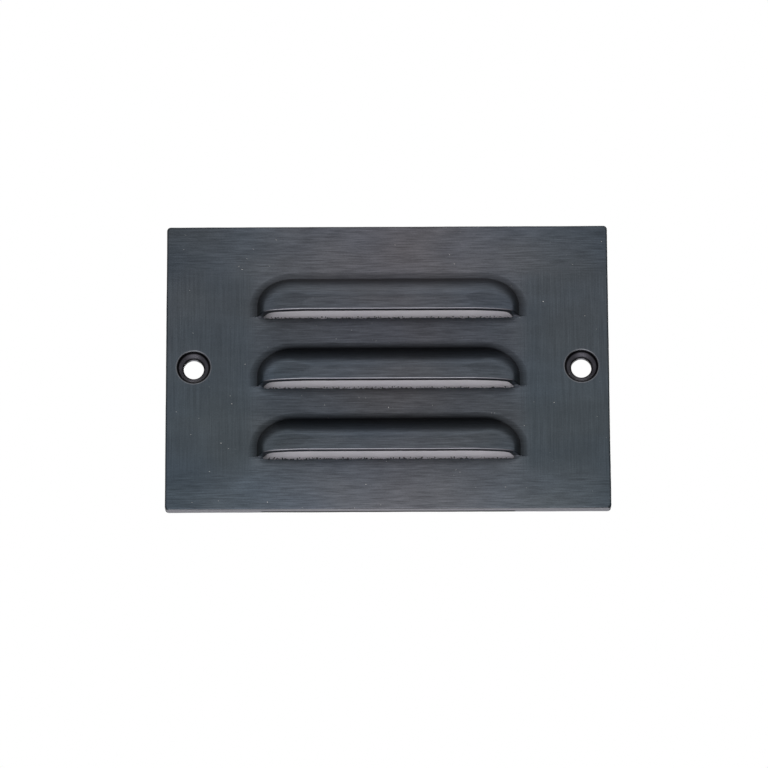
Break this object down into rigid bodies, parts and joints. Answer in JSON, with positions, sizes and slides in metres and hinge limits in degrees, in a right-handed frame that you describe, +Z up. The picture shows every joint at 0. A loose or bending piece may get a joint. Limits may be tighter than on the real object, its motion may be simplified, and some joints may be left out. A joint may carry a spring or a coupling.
{
  "type": "recessed louvred step light",
  "caption": "Rectangular cast step light with downward louvre hoods over a frosted lens, on a lamp housing let into the wall; fixed by a screw at each end.",
  "frame": {"origin": "midway between the two wall screw holes, on the back face of the face plate", "axes": "+X to the right and +Z up as mounted on a wall, -Y out of the wall towards the viewer"},
  "size_m": [0.1142, 0.0717, 0.0762],
  "materials": {
    "gunmetal_plate": "cast brass, gunmetal patina, hand brushed and lacquered",
    "foam_gasket": "closed-cell foam rubber sheet",
    "silicone_gasket": "die-cut silicone rubber, matte",
    "frosted_glass": "tempered glass, acid-etched frost",
    "cast_housing": "die-cast, black powder coat",
    "stainless_screw": "stainless steel, plain",
    "reflector_sheet": "pressed sheet, satin",
    "zinc_screw": "zinc plated",
    "zinc_steel": "zinc-plated strip",
    "holder_ceramic": "unglazed steatite",
    "contact_metal": "nickel-plated brass",
    "quartz_glass": "clear quartz",
    "lamp_wire": "drawn wire",
    "terminal_nylon": "moulded nylon, natural",
    "terminal_brass": "turned brass",
    "brown_lead": "silicone insulation, brown",
    "blue_lead": "silicone insulation, blue",
    "gland_nylon": "moulded nylon, black",
    "gland_rubber": "moulded rubber"
  },
  "bodies": {
    "fixture": {"face_plate": "gunmetal_plate", "wall_gasket": "foam_gasket", "lens_front_gasket": "silicone_gasket", "lens": "frosted_glass", "lens_rear_gasket": "silicone_gasket", "housing": "cast_housing", "housing_screws": "stainless_screw", "reflector": "reflector_sheet", "tray_screws": "zinc_screw", "lampholder_bracket": "zinc_steel", "lampholder_body": "holder_ceramic", "lampholder_contacts": "contact_metal", "lampholder_screws": "zinc_screw", "terminal_block": "terminal_nylon", "terminal_barrels": "terminal_brass", "terminal_screws": "zinc_screw", "terminal_fixing_screw": "zinc_screw", "lead_live": "brown_lead", "lead_neutral": "blue_lead", "gland_body": "gland_nylon", "gland_washer": "silicone_gasket", "gland_locknut": "gland_nylon", "gland_seal": "gland_rubber", "gland_nut": "gland_nylon"},
    "lamp": {"lamp_capsule": "quartz_glass", "lamp_pins": "lamp_wire", "lamp_filament": "lamp_wire"}
  },
  "joints": [
    {"name": "lamp_pull", "type": "slide", "parent": "fixture", "child": "lamp", "axis": [1, 0, 0], "range_m": [0, 0.007]}
  ]
}
